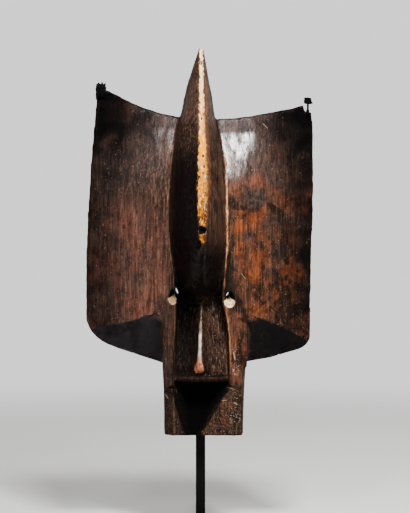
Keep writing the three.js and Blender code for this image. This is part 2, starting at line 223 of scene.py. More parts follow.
# What the mesh carries at each of its points for the material.
AREAS = [
    "corner", "crease", "raw", "strip", "notch", "eye", "eye_floor", "rub", "beside", "half", "bright",
    "soot", "ash", "nose", "warm", "polish", "veil", "streaky", "scuff", "stain", "glow", "flecks",
]

# The hollow behind: half its width and the depth of its front wall at each height.
HOLLOW_TOP = 452
HOLLOW_HALF = [(0, 50), (100, 52), (150, 58), (200, 72), (260, 80), (345, 79), (385, 73), (412, 62),
               (432, 46), (452, 22)]
HOLLOW_FRONT = [(0, 80), (88, 61), (130, 68), (200, 72), (260, 76), (380, 76), (412, 70), (432, 58),
                (452, 40)]

# The eye holes: x and height at the face, the hole's width and height, and the degrees by which it turns to
# the side. Both rise backwards.
EYES = [(-47.5, 236, 16, 25, 12), (48.4, 232, 17.4, 26.5, -9)]
EYE_RISE = math.radians(19)
FACE_DEPTH = 118

# What lies further back than the first depth is the hood. Then the heights of the upper lip, and half the
# width and the foot of the sunk channel.
HOOD_DEPTH = 60
LIP_BOTTOM = 84
LIP_TOP = 106
CHANNEL_HALF = 48
CHANNEL_FOOT = 103

# The worn strip on the crest's ridge: its middle and its half width at each height, and the depth from which
# the wood counts as the ridge. Points that are on none of it are said to be far away.
STRIP_MIDDLE = [(318, 2.5), (357, 3.3), (408, 2.6), (530, 1.7), (658, 0)]
STRIP_HALF = [(318, 0.5), (328, 3.8), (345, 4.6), (357, 5.0), (375, 7.4), (400, 8.2), (430, 7.2), (480, 5.8),
              (530, 4.2), (600, 3.2), (658, 2.6)]
RIDGE_FRONT = [(317, 196), (400, 172), (520, 130), (600, 92), (658, 50)]
STRIP_FOOT = 317
FAR_AWAY = 30

# The two ragged notches in the ridge above the beak's end: x, height, half width and half height, how far
# both are cut in, and the depth on the mask from which the ridge has them.
NOTCHES = [(1.8, 346, 7.6, 6.6), (-3.8, 321, 4.6, 7.2)]
NOTCH_DEPTH = 7
NOTCH_BACK = 186

# The share of a hole's size that stands for far from any hole, and the distance up to which the edges count.
NO_HOLE = 9
EDGE_REACH = 40

# Where the ears' long lower edges lie: left and right of these, and between these heights.
LOW_EDGE_LEFT = -67
LOW_EDGE_RIGHT = 81
LOW_EDGE_BOTTOM = 100
LOW_EDGE_TOP = 215

# Scratches and bruises on the front: from x and height to x and height, and how wide half of each is.
SCRATCHES = [
    (67.5, 275, 75, 265, 0.6), (105, 530, 113, 521, 0.6), (54.8, 143, 57.2, 129, 1.6),
    (34.5, 60.2, 44, 60.8, 0.8), (55, 57.5, 61.5, 53, 1.4), (42, 82.6, 54, 80.8, 0.7),
    (-61, 71, -55.5, 63, 1.2),
]

# Insect holes and a nick in the bare strip, written in the same way.
STRIP_HOLES = [
    (0.4, 631, 0.4, 627, 1.8), (1.0, 534, 1.0, 529.5, 1.9), (3.6, 471, 3.6, 465.8, 2.2),
    (-6.5, 434, -0.8, 433, 2.4), (3.4, 441.5, 3.4, 437.5, 1.6), (5.2, 453, 5.2, 448, 1.6),
]

# Clouds on the right ear: x, height, size and strength. The patina is worn orange in some and dark in others.
WORN_CLOUDS = [
    (94, 429, 16, 0.7), (56, 416, 14, 0.8), (145, 397, 17, 0.5), (96, 366, 17, 0.7), (64, 350, 13, 0.6),
    (152, 350, 12, 0.4), (101, 300, 17, 0.6), (91, 272, 15, 0.6), (170, 270, 11, 0.4), (98, 213, 16, 0.5),
]
DARK_CLOUDS = [
    (89.5, 400, 21, 0.9), (114, 363, 16, 0.7), (174, 363, 16, 0.6), (80, 337, 12, 0.5), (128, 310, 16, 0.5),
    (114, 275, 14, 0.5), (140, 425, 16, 0.4),
]

# Where the jaw and the cheeks are flecked most, written in the same way.
FLECKED_CLOUDS = [
    (55, 31, 12, 1.0), (55, 114, 11, 0.7), (48, 150, 8, 0.5), (-58, 62, 8, 0.5), (-41, 22, 8, 0.6),
    (40, 38, 8, 0.6),
]

# The sides of the mouth at each height, and a depth within the wood between the mouth and the hollow.
MOUTH_LEFT = [(3, -15), (12, -21), (40, -28), (62, -35), (92, -46)]
MOUTH_RIGHT = [(3, -7), (14, 1), (37, 14), (55, 25), (75, 39), (92, 47)]
MOUTH_BACK = [(0, 92), (30, 82), (60, 74), (92, 69)]
MOUTH_BOTTOM = 4
MOUTH_TOP = 92

# The nose's ridge, worn and painted with a highlight: its middle and its half width at each height.
NOSE_FOOT = 107
NOSE_TOP = 212
NOSE_MIDDLE = [(108, -3), (118, -3), (141, -2.5), (174, -1.2), (212, 0.2)]
NOSE_HALF = [(106, 6), (112, 8), (120, 6.5), (128, 3.6), (142, 2.1), (180, 1.7), (212, 0.8)]

# Painted highlights along the channel's two carved edges, brighter on the right where the light falls, over a
# little worn wood: height, distance from the mask's middle, half width, and how bright.
WORN_AND_LIT_LINES = {
    -1: [(80, 46, 0.7, 0.05), (170, 44.5, 0.7, 0.1), (250, 45, 0.7, 0.05), (322, 52.5, 0.9, 0.3),
         (355, 55, 0.7, 0.1), (400, 56, 0.9, 0.3), (450, 52, 0.8, 0.1), (541, 41, 1.3, 0.4)],
    1: [(90, 48, 0.5, 0.2), (136, 50, 0.7, 0.4), (146, 48.5, 0.9, 0.8), (167, 47.4, 1.1, 0.95),
        (198, 44.6, 1.0, 0.9), (213, 42.5, 0.8, 0.5), (240, 38, 0.5, 0.1),
        (280, 41, 0.7, 0.35), (322, 44, 1.0, 0.9), (400, 44, 1.1, 0.9), (450, 43, 1.0, 0.7),
        (480, 39, 0.8, 0.3), (541, 29, 0.9, 0.2)],
}


def sharp_lines(mesh):
    """Points at every millimetre along the sharp edges of the CAD solid, outward ones and inward ones."""
    outward, inward = [], []
    for edge in mesh.edges:
        if len(edge.link_faces) != 2 or edge.calc_face_angle() < SHARP:
            continue
        a, b = (v.co for v in edge.verts)
        steps = max(2, math.ceil((b - a).length / MM))
        line = [a.lerp(b, i / steps) for i in range(steps + 1)]
        (outward if edge.is_convex else inward).extend(line)
    return outward, inward


def tree_of(line):
    """The points of some lines, laid out so that the nearest one is found quickly."""
    tree = kdtree.KDTree(len(line))
    for i, point in enumerate(line):
        tree.insert(point, i)
    tree.balance()
    return tree


def distances(points, tree):
    """How far each point lies from the nearest point of some lines, in millimetres."""
    return np.array([tree.find(p)[2] for p in points]) / MM


def edge_offsets(points, ends, tree, reach):
    """The way from each point to the nearest sharp line, and how much of it the point should go: all of it on
    a bend of the mesh that lies within reach of the line, in millimetres, and none elsewhere."""
    whole = np.ones(len(points))
    bend = np.linalg.norm(relaxed(points.copy(), ends, whole, 1) - points, axis=1) / MM
    found = [tree.find(p) for p in points]
    targets = np.array([f[0] for f in found])
    away = np.array([f[2] for f in found]) / MM
    share = ease(0.2, 0.55, bend) * ease(reach, reach - 2, away)
    return targets - points, share


def eye_holes(p):
    """How far each point lies from the middle line of the nearer eye hole, as a share of the hole's size, and
    how much of the hole's outer floor it is."""
    nearest, floor = np.full(len(p), float(NO_HOLE)), np.zeros(len(p))
    for x, z, width, height, turn in EYES:
        forward = p[:, 1] - FACE_DEPTH
        across = (p[:, 0] - x + forward * math.tan(math.radians(turn))) / (width / 2)
        up = (p[:, 2] - z + forward * math.tan(EYE_RISE)) / (height / 2)
        reach = np.hypot(across, up)
        here = ease(1.25, 1.08, reach) * ease(-0.15, -0.45, up) * ease(94, 100, p[:, 1])
        floor = np.maximum(floor, here)
        nearest = np.minimum(nearest, reach)
    return nearest, floor


def in_mouth(p):
    x, depth, height = p.T
    inside = (x > along(MOUTH_LEFT, height)) & (x < along(MOUTH_RIGHT, height))
    return inside & (height > MOUTH_BOTTOM) & (height < MOUTH_TOP) & (depth > along(MOUTH_BACK, height))


def on_lip(p, half):
    x, _, height = p.T
    return (height > LIP_BOTTOM) & (height < LIP_TOP) & (np.abs(x) < half)


def in_channel(p, back, front, top):
    """The sunk channel on both sides of the nose, between two depths and up to a height."""
    x, depth, height = p.T
    return ((np.abs(x) < CHANNEL_HALF) & (depth > back) & (depth < front)
            & (height > CHANNEL_FOOT) & (height < top))


def strip_distance(p):
    """How far each point lies outside the worn strip on the ridge."""
    x, depth, height = p.T
    on_ridge = (height > STRIP_FOOT) & (depth > along(RIDGE_FRONT, height))
    return np.where(on_ridge, np.abs(x - along(STRIP_MIDDLE, height)) - along(STRIP_HALF, height), FAR_AWAY)


def nose_distance(p):
    """How far each point lies outside the worn and highlighted ridge of the nose."""
    x, depth, height = p.T
    beside = np.abs(x - along(NOSE_MIDDLE, height)) - along(NOSE_HALF, height)
    past_ends = np.maximum(NOSE_FOOT - height, height - NOSE_TOP)
    on_nose = (depth > 95) & (depth < 145) & (height < 222)
    return np.where(on_nose, np.maximum(beside, past_ends), FAR_AWAY)


def rubbed_and_lit(p):
    """How bright the corners of the wood are painted: a little worn wood on most of them, and painted
    highlights on the jaw's left corner and on the ledges at the rails' ends.
    """
    x, depth, height = p.T
    muzzle = (height < 100) & (np.abs(x) < 80)
    left_corner = (height < 80) & (np.abs(x + 46) < 5)
    ledge = (height > 78) & (height < 92) & (np.abs(x) > 50)
    share = np.full(len(p), 0.01)
    for area, bright in ((muzzle, 0.03), (left_corner, 0.1), (ledge, 0.08)):
        share = np.where(area, bright, share)
    mouth_side = (np.abs(x - along(MOUTH_LEFT, height)) < 7) & (height < 84) & ~left_corner
    unrubbed = in_mouth(p) | mouth_side | on_lip(p, 50)
    return np.where(unrubbed, 0, share) * (depth > HOOD_DEPTH)


def rubbed_and_lit_lines(p):
    """How far from the middle of a painted highlight line along the carved edges each point lies, the line's
    half width, and its brightness.
    """
    x, depth, height = p.T
    beside, half, bright = (np.zeros(len(p)) for _ in range(3))
    for side, line in WORN_AND_LIT_LINES.items():
        here = side * x > 0
        rows = np.array(line).T
        where, half_here, bright_here = (np.interp(height, rows[0], row) for row in rows[1:])
        beside = np.where(here, side * x - where, beside)
        half = np.where(here, half_here, half)
        bright = np.where(here, bright_here, bright)
    bright = bright * (depth > 98) * ease(84, 92, height) * ease(560, 545, height)
    return beside, half, bright


def shaded_and_darkened(p, front, in_crest, normals):
    """How dark the wood is painted: painted shade on the crest's left flank and lower right flank, under the
    beak, in the mouth, on the lip, on the channel's walls and its left side, over the jaw (most on its left
    and beside the mouth), under the nose and on the left rail; a darker patina on the outer parts and tops of
    the ears, which also stands for the light falling off there; and darker top rims.
    """
    x, depth, height = p.T
    left_flank = in_crest * ease(6, -8, x) * ease(545, 450, height)
    right_flank = in_crest * ease(-2, 6, x) * (0.12 + 0.6 * ease(350, 300, height))
    under_beak = in_crest * ease(322, 300, height)
    mouth = in_mouth(p) * 1.4
    lip = (on_lip(p, 52) & (depth > HOOD_DEPTH)) * 0.74
    orange_corner = ease(70, 25, np.hypot(x + 165, (height - 530) * 0.7))
    outer = front * ease(85, 185, np.abs(x)) * np.where(x > 0, 0.95, 0.85) * (1 - 0.3 * orange_corner)
    top = front * ease(430, 530, height) * ease(50, 90, np.abs(x)) * np.where(x < 0, 0.72, 0.34)
    corners = (outer + top) * (1 + 0.35 * noise_at(p, 24, 63.0))
    rim = ease(0.35, 0.6, normals[:, 2]) * ease(470, 490, height) * (np.abs(x) > 30)
    walls = in_channel(p, 84, 114, 300) * (0.56 + 0.45 * ease(10, -20, x) + 0.3 * ease(190, 225, height))
    from_right = x - along(MOUTH_RIGHT, height)
    from_left = along(MOUTH_LEFT, height) - x
    beside_mouth = ease(14, 2, np.maximum(from_right, from_left - 6))
    jaw = ease(92, 82, height) * (depth > HOOD_DEPTH) * np.maximum(0.4 + 0.28 * (x < 0), beside_mouth * 1.15)
    under_nose = (np.abs(x) < 40) * ease(111, 107, height) * (height > 101) * (depth > 84)
    left_rail = front * (x < -40) * (x > -70) * ease(235, 215, height) * 0.5
    parts = [left_flank, right_flank, under_beak, mouth, lip, corners, rim, walls, jaw, under_nose, left_rail]
    return np.max(parts, axis=0)


def polished(p, front, in_crest):
    """Where hands and wax have left the wood glossy."""
    x, _, height = p.T
    wavy = 7 * noise_at(p, 30, 51.0, 2)
    right_top = ease(28, 36, x) * ease(96, 80, x + wavy) * ease(395, 450, height + wavy)
    right_top = right_top * ease(517, 508, height + 0.3 * wavy)
    left_top = ease(-36, -44, x) * ease(-90, -58, x + wavy) * ease(410, 470, height) * ease(530, 512, height)
    middles = ease(150, 110, np.abs(x)) * ease(480, 400, height) * 0.25
    crest_top = in_crest * ease(470, 540, height) * 0.25
    parts = [right_top * 1.3, left_top * 0.3, middles, crest_top, np.full(len(p), 0.05)]
    return np.max(parts, axis=0) * np.maximum(front, in_crest) * ease(103, 112, height)


def underside_dull_and_shaded(p, normals):
    """Where the wood below the ears is dull grey, painted darker as shade where it faces down."""
    x, _, height = p.T
    return ease(0.2, 0.45, -normals[:, 2]) * ease(64, 70, np.abs(x)) * (height > 90) * 0.97


def warmth(p, front):
    """Where the patina is redder and thinner, over the middle and lower parts of the ears."""
    x, _, height = p.T
    wavy = height + 18 * noise_at(p, 60, 41.0)
    left_ear = ease(445, 330, wavy) * (1 - 0.3 * ease(-110, -70, x))
    ears = np.where(x > 0, ease(448, 408, wavy), left_ear)
    ears = ears * np.where(x > 0, ease(50, 62, x), ease(-50, -62, x)) * (height > 120)
    corner = ease(60, 25, np.hypot((x + 165), (height - 540) * 0.8))
    cheeks = (height < 235) * (np.abs(x) < 80) * np.where(x > 44, 0.6, np.where(x < -44, 0.25, 0.2))
    muzzle = np.where(height < 86, np.where(x > 0, 0.3, 0.1), cheeks)
    return np.where(muzzle > 0, muzzle, np.maximum(ears, corner)) * front


def sheen_over_tops(p, front, in_crest):
    """A painted grey violet sheen over the tops of the ears."""
    x, _, height = p.T
    tops = ease(395, 480, height + 25 * noise_at(p, 50, 91.0)) * (np.abs(x) > 28)
    return front * (1 - in_crest) * tops * ease(150, 100, np.abs(x))


def streaked(p, in_crest):
    """Where long pale scratches run down the crest and the channel."""
    x, _, height = p.T
    crest = in_crest * np.maximum(ease(420, 520, height), ease(0, 8, x) * ease(300, 340, height) * 0.75)
    beside_strip = ease(6, 9, x) * ease(20, 12, x) * ease(380, 430, height) * ease(610, 570, height)
    channel = in_channel(p, 86, 116, 235) * (0.25 + 0.5 * ease(-20, 10, x))
    return np.max([crest, in_crest * beside_strip * 1.5, channel], axis=0)


def scuffed(p):
    """Where small knocks have left pale specks: the jaw, the channel's right side and low on the ears."""
    x, depth, height = p.T
    jaw = ease(95, 85, height) * (0.55 + 0.45 * ease(-10, 25, x))
    channel = in_channel(p, HOOD_DEPTH, 114, 235) * ease(-20, 5, x) * 0.9
    right_ear = ease(60, 90, x) * ease(330, 200, height)
    left_ear = ease(-60, -90, x) * ease(330, 200, height) * 0.5
    parts = [jaw, channel, right_ear, left_ear, np.full(len(p), 0.25)]
    return np.max(parts, axis=0) * (depth > HOOD_DEPTH)


def clouded(p, front, clouds):
    """Soft clouds with uneven rims on the mask's front."""
    x, _, height = p.T
    wavy = 6 * noise_at(p, 14, 71.0)
    parts = [strength * ease(size + 8, size - 8, np.hypot(x - at, (height - up) * 1.2) + wavy)
             for at, up, size, strength in clouds]
    return np.max(parts, axis=0) * front


def even_copy(source):
    """A copy of the CAD solid with an even mesh, and the solid's outward and inward sharp edges."""
    mesh = bmesh.new()
    mesh.from_mesh(source.data)
    bmesh.ops.remove_doubles(mesh, verts=mesh.verts, dist=WELD * MM)
    outward, inward = sharp_lines(mesh)
    carving = new_object("mask_carving", mesh)
    remesh = carving.modifiers.new("even", "REMESH")
    remesh.mode = "VOXEL"
    remesh.voxel_size = VOXEL * MM
    baked(carving)
    carving.data.materials.clear()
    return carving, tree_of(outward), tree_of(inward)


def move_points(piece, points):
    piece.data.vertices.foreach_set("co", points.ravel())
    piece.data.update()


def smoothed(points, ends, outward):
    """The even mesh without its steps, with the long lower edges of the ears drawn out again."""
    x, _, height = mask_points(points).T
    beside_muzzle = (x < LOW_EDGE_LEFT) | (x > LOW_EDGE_RIGHT)
    below_ears = beside_muzzle & (height > LOW_EDGE_BOTTOM) & (height < LOW_EDGE_TOP)
    points = relaxed(points, ends, 0.5 * ~below_ears, 2)
    for _ in range(4):
        missing, share = edge_offsets(points, ends, outward, 12)
        points += missing * (share * below_ears)[:, None]
        points = relaxed(points, ends, 0.5 * below_ears * ease(0.5, 2, distances(points, outward)), 2)
    return points


def hollowed(p, normals, ends):
    """Which points are the wood of the hollow behind, with a soft edge."""
    x, depth, height = p.T
    inward_side = -np.sign(x) * normals[:, 0]
    inside = (np.abs(x) < along(HOLLOW_HALF, height) + 4) & (depth < along(HOLLOW_FRONT, height) + 4)
    inside &= height < HOLLOW_TOP
    inside &= (inward_side > 0.05) | (normals[:, 1] > 0.35)
    inside &= (depth > 1) & ~in_mouth(p)
    share = inside.astype(float)
    for _ in range(2):
        share = relaxed(np.repeat(share[:, None], 3, 1), ends, np.full(len(p), 0.5), 1)[:, 0]
    return share


def notch_distance(p):
    """How far each point lies from the middle of the nearer notch, as a share of the notch's size."""
    x, _, height = p.T
    ragged = 0.35 * noise_at(p, 6, 81.0) + 0.25 * noise_at(p, 3.2, 83.0)
    return np.min([np.hypot((x - at) / wide, (height - up) / high) + ragged
                   for at, up, wide, high in NOTCHES], axis=0)


def relief(p, normals, front, raw, in_crest, corner, strip, notch, eye):
    """How far the surface stands out, in millimetres: long hollows that the adze left, fine upright ridges,
    scooped marks inside and behind, knocked edges, pits in the bare strip, and the two notches."""
    x, depth, height = p.T
    broad = noise_at(p, 26, 3.1, 5)
    ripple = noise_at(p, 9, 7.7, 9)
    fine = noise_at(p, 4.2, 11.3, 14)
    scoops = dimples_at(p, 17, 5.2, 2.6)
    rough = noise_at(p, 7, 2.9)
    back = 1 - front
    out = front * (0.75 * broad + 0.38 * ripple + 0.16 * fine)
    out += back * (1 - raw) * (0.6 * broad + 0.3 * ripple + 0.9 * (scoops - 0.45))
    out += raw * (1.9 * (scoops - 0.45) + 0.4 * broad)

    knocks = ease(7, 1.5, corner) * (1 - in_crest) * (1 - 0.6 * ease(14, 5, height))
    out -= knocks * (1.5 * np.maximum(noise_at(p, 11, 21.0, 1.6), 0) + 0.7 * np.maximum(rough, 0))
    ears_low_edge = ease(14, 4, corner) * ease(215, 190, height) * (np.abs(x) > 60)
    out *= 1 - 0.85 * ears_low_edge

    pits = np.maximum(noise_at(p, 5.5, 31.0, 1.7) - 0.15, 0) * 3.2
    out -= ease(1.5, -1.5, strip) * (pits + 0.5 * (1 + noise_at(p, 3.4, 37.0, 6)))
    out -= NOTCH_DEPTH * ease(1.15, 0.3, notch) * ease(NOTCH_BACK, NOTCH_BACK + 10, depth)

    # The remesh widens the eye holes, so their walls are brought in again.
    eye_walls = ease(1.3, 1.1, eye) * ease(0.85, 0.5, np.abs(normals[:, 1]))
    return out + (2.2 + 1.6 * ease(112, 98, depth)) * eye_walls


def add_carving(material):
    carving, outward, inward = even_copy(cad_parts["carved_mask"])
    ends = edge_ends(carving.data)
    points = smoothed(points_of(carving.data), ends, outward)
    corner = distances(points, outward)
    crease = distances(points, inward)
    away_from_edges = ease(2, 12, np.minimum(corner, crease))
    points = relaxed(points, ends, 0.5 * away_from_edges, 60)
    move_points(carving, points)

    normals = points_of(carving.data, "vertices", "normal")
    p = mask_points(points)
    x, depth, height = p.T
    front = ease(0.2, 0.8, -normals[:, 1])
    in_crest = ease(224, 240, height) * ease(60, 40, np.abs(x)) * ease(96, 112, depth)
    raw = hollowed(p, normals, ends)
    strip = strip_distance(p)
    notch = notch_distance(p)
    eye, eye_floor = eye_holes(p)
    out = relief(p, normals, front, raw, in_crest, corner, strip, notch, eye)
    move_points(carving, points + normals * out[:, None] * MM)

    beside, half, bright = rubbed_and_lit_lines(p)
    areas = {
        "corner": np.minimum(corner, EDGE_REACH),
        "crease": np.minimum(crease, EDGE_REACH),
        "raw": raw,
        "strip": strip,
        "notch": np.where(depth > NOTCH_BACK, notch, NO_HOLE),
        "eye": eye,
        "eye_floor": eye_floor,
        "rub": rubbed_and_lit(p),
        "beside": beside,
        "half": half,
        "bright": bright,
        "soot": shaded_and_darkened(p, front, in_crest, normals),
        "ash": underside_dull_and_shaded(p, normals),
        "nose": nose_distance(p),
        "warm": warmth(p, front),
        "polish": polished(p, front, in_crest),
        "veil": sheen_over_tops(p, front, in_crest),
        "streaky": streaked(p, in_crest),
        "scuff": scuffed(p),
        "stain": clouded(p, front, DARK_CLOUDS),
        "glow": clouded(p, front, WORN_CLOUDS),
        "flecks": clouded(p, front, FLECKED_CLOUDS),
    }
    for name in AREAS:
        set_attribute(carving, name, areas[name])
    carving.data.materials.append(material)
    shade_smooth(carving)
    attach(carving, "root")
    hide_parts("carved_mask")


# The ties

TIE_VOXEL = 0.6


def cord(mesh, points, radius):
    """Adds a round cord along a smooth line of mask points."""
    data = bpy.data.curves.new("cord", "CURVE")
    data.dimensions = "3D"
    data.bevel_depth = radius * MM
    data.bevel_resolution = 3
    data.use_fill_caps = True
    line = data.splines.new("BEZIER")
    line.bezier_points.add(len(points) - 1)
    for knot, point in zip(line.bezier_points, points):
        knot.co = placed(*point)
        knot.handle_left_type = knot.handle_right_type = "AUTO"
    strand = bpy.data.objects.new("cord", data)
    bpy.context.scene.collection.objects.link(strand)
    graph = bpy.context.evaluated_depsgraph_get()
    shape = bpy.data.meshes.new_from_object(strand.evaluated_get(graph))
    mesh.from_mesh(shape)
    bpy.data.objects.remove(strand)
    bpy.data.curves.remove(data)
    bpy.data.meshes.remove(shape)


def turn_of_cord(mesh, centre, across, deep, tilt, radius):
    """A level turn of cord round a middle, that climbs to one side by its tilt."""
    x, depth, height = centre
    steps = np.linspace(0, 2 * math.pi, 13)
    cord(mesh, [(x + across * math.cos(a), depth + deep * math.sin(a), height + tilt * math.cos(a))
                for a in steps], radius)


def add_tie(name, mesh, node, material):
    """Makes cords one knotted tie, and frays their surface."""
    tie = new_object(name, mesh)
    remesh = tie.modifiers.new("knotted", "REMESH")
    remesh.mode = "VOXEL"
    remesh.voxel_size = TIE_VOXEL * MM
    baked(tie)
    points, normals = points_of(tie.data), points_of(tie.data, "vertices", "normal")
    p = mask_points(points)
    frays = 0.35 * noise_at(p, 1.6, 61.0) + 0.2 * noise_at(p, 3.5, 67.0)
    move_points(tie, points + normals * frays[:, None] * MM)
    tie.data.materials.clear()
    tie.data.materials.append(material)
    shade_smooth(tie)
    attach(tie, "root")
    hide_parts(node)


def add_left_tie(material):
    """Cords laid over the corner of the left ear, bound together, with three cut ends on top."""
    mesh = bmesh.new()
    for x, foot in ((-176, 569), (-172, 572), (-168, 571.5), (-164.2, 573)):
        over = [(98.5, foot), (101, foot + 5), (101, 584), (97, 592.5), (90.5, 594.5), (84.5, 591),
                (82.5, 583), (84, foot + 4), (87, foot + 1)]
        cord(mesh, [(x, depth, height) for depth, height in over], 2.1)
    for height, tilt in ((579.5, 1.2), (584, -1.5), (588.5, 0.8)):
        turn_of_cord(mesh, (-170, 92, height), 7.4, 10.6, tilt, 1.9)
    for x, lean, top in ((-173.2, -1.2, 598.2), (-168.6, 0.6, 599.2), (-164.4, 1.6, 597.4)):
        cord(mesh, [(x, 91, 590), (x + lean * 0.4, 91, 594), (x + lean, 90.5, top)], 1.5)
    add_tie("left_ear_cord", mesh, "left_ear_tie", material)


def add_right_tie(material):
    """A cord that comes up out of the chip in the right ear, wound into a knot on its end."""
    mesh = bmesh.new()
    cord(mesh, [(181, 96.5, 543.5), (181.2, 98, 547), (181.3, 94, 550.6), (181.4, 89, 551),
                (181.2, 83, 549.5), (181, 82.5, 545)], 2.3)
    cord(mesh, [(181.3, 90, 549), (181.6, 90, 557), (181.6, 89.5, 566)], 1.7)
    for height, across, tilt in ((564.6, 4.6, -0.5), (568.2, 4.7, 0.4), (571.2, 4.2, -0.3)):
        turn_of_cord(mesh, (181.4, 89, height), across, 3.6, tilt, 2.0)
    cord(mesh, [(184, 92.5, 567), (187, 91.5, 565.2), (189.2, 90, 563.6)], 1.5)
    add_tie("right_ear_cord", mesh, "right_ear_tie", material)


# Materials

# The colours of the layers as they are seen, each as six hex digits.
# Some tones stand for painted light and shade: the darkest one, laid over the areas of painted shade; the
# mouth's painted shadow; the black inside the eye holes; the lit floors of the eye holes; the nose's
# highlight; the worn and highlighted edges; the grey violet sheen; and the strip's highlight band.
TONES = {
    "dark patina": "2d221e", "grey patina": "4b3830", "pink patina": "644840", "brown patina": "583626",
    "thin red": "784437", "thin orange": "92502e", "blot": "1d110b", "worn orange": "8f4a25",
    "dark mottle": "1c120d", "pale mottle": "935a3c", "painted grey sheen": "544a4c", "dark grain": "181009",
    "dark streak": "1e1410", "pale grain": "86644f", "pale fine grain": "8f7260", "dark speck": "0e0906",
    "pale speck": "b08a6e", "pock": "c0a088", "bright pock": "ead4be", "stain": "443a37",
    "dark stain": "2a211f", "soot": "0c0706", "painted mouth shadow": "040202", "charcoal": "201e20",
    "pale charcoal": "312e31", "black charcoal": "141213", "pale line": "9a806c", "thin edge": "7d4a30",
    "rubbed wood": "d3a67e", "nose highlight": "dcd2cb", "brown nose": "8d7667", "red nose": "d08a68",
    "nose flaw": "5d3a2b", "scratched wood": "b5957a", "dark hollow": "3c2618", "pale hollow": "6b4a30",
    "hollow streak": "2e1c12", "pale bare wood": "f6dcac", "golden bare wood": "eda23e",
    "brown band": "9a520f", "highlight band": "fff0cc", "brown decay": "6b3a14", "grey decay": "634a3b",
    "crack": "1c0f08", "insect hole": "0a0503", "worn band": "9a6a42", "strip rim": "55331f",
    "red strip edge": "8a4526", "notch": "060403", "eye hole": "080605", "grey eye floor": "a78a6c",
    "lit pale eye floor": "f0dcb4", "eye floor mottle": "6e5138", "black steel": "060607",
    "worn steel": "0b0c0d", "black cord": "020202", "brown cord": "080606", "pale floor": "d8d7d5",
    "floor haze": "cfcecc",
}


class Value:
    """A socket of a material. Arithmetic on it adds the Math nodes that work it out."""

    def __init__(self, finish, socket):
        self.finish = finish
        self.socket = socket

    def _maths(self, operation, first, second):
        return self.finish.node("Math", {"operation": operation}, {0: first, 1: second})

    def __add__(self, other):
        return self._maths("ADD", self, other)

    def __sub__(self, other):
        return self._maths("SUBTRACT", self, other)

    def __mul__(self, other):
        return self._maths("MULTIPLY", self, other)

    def __truediv__(self, other):
        return self._maths("DIVIDE", self, other)

    def __rsub__(self, other):
        return self._maths("SUBTRACT", other, self)

    __radd__ = __add__
    __rmul__ = __mul__

    def highest(self, other):
        return self._maths("MAXIMUM", self, other)

    def absolute(self):
        return self.finish.node("Math", {"operation": "ABSOLUTE"}, {0: self})


class Finish:
    """A material, and the nodes that paint it."""

    def __init__(self, name):
        self.material = bpy.data.materials.new(name)
        self.material.use_nodes = True
        self.tree = self.material.node_tree
        self.tree.nodes.clear()
        self.shader = self.tree.nodes.new("ShaderNodeBsdfPrincipled")
        output = self.tree.nodes.new("ShaderNodeOutputMaterial")
        self.tree.links.new(self.shader.outputs[0], output.inputs["Surface"])
        self.place = self.node("TexCoord", output="Object")

    def feed(self, socket, value):
        if isinstance(value, Value):
            self.tree.links.new(value.socket, socket)
        else:
            socket.default_value = value

    def node(self, kind, settings=None, sockets=None, output=0):
        made = self.tree.nodes.new("ShaderNode" + kind)
        for name, value in (settings or {}).items():
            setattr(made, name, value)
        for name, value in (sockets or {}).items():
            self.feed(made.inputs[name], value)
        return Value(self, made.outputs[output])

    def axis(self, letter):
        return self.node("SeparateXYZ", sockets={0: self.place}, output=letter)

    def noise(self, across, up=None, detail=2.0, roughness=0.5, distortion=0.0, shift=0.0, tilt=0.0):
        """Noise whose grain is so many millimetres across and, where given, longer upwards."""
        scale = [1000 / across, 1000 / across, 1000 / (up or across)]
        mapped = self.node("Mapping", sockets={
            "Vector": self.place, "Location": (shift, shift * 0.6, -shift), "Scale": scale,
            "Rotation": (0, tilt, 0)})
        return self.node("TexNoise", sockets={
            "Vector": mapped, "Scale": 1.0, "Detail": detail, "Roughness": roughness,
            "Distortion": distortion})

    def rise(self, value, low, high):
        """0 where the value is at low, 1 where it is at high. Low may be the larger."""
        return self.node("MapRange", {"interpolation_type": "SMOOTHSTEP"}, {
            "Value": value, "From Min": low, "From Max": high})

    def mix(self, amount, first, second):
        """The first colour with the second laid over it by an amount. A colour may be a tone's name."""
        first, second = (linear(TONES[c]) if isinstance(c, str) else c for c in (first, second))
        return self.node("Mix", {"data_type": "RGBA"}, {"Factor": amount, 6: first, 7: second}, output=2)

    def bump(self, height, distance):
        return self.node("Bump", sockets={"Height": height, "Distance": distance * MM, "Strength": 1.0})

    def set(self, **sockets):
        for name, value in sockets.items():
            self.feed(self.shader.inputs[name.replace("_", " ")], value)


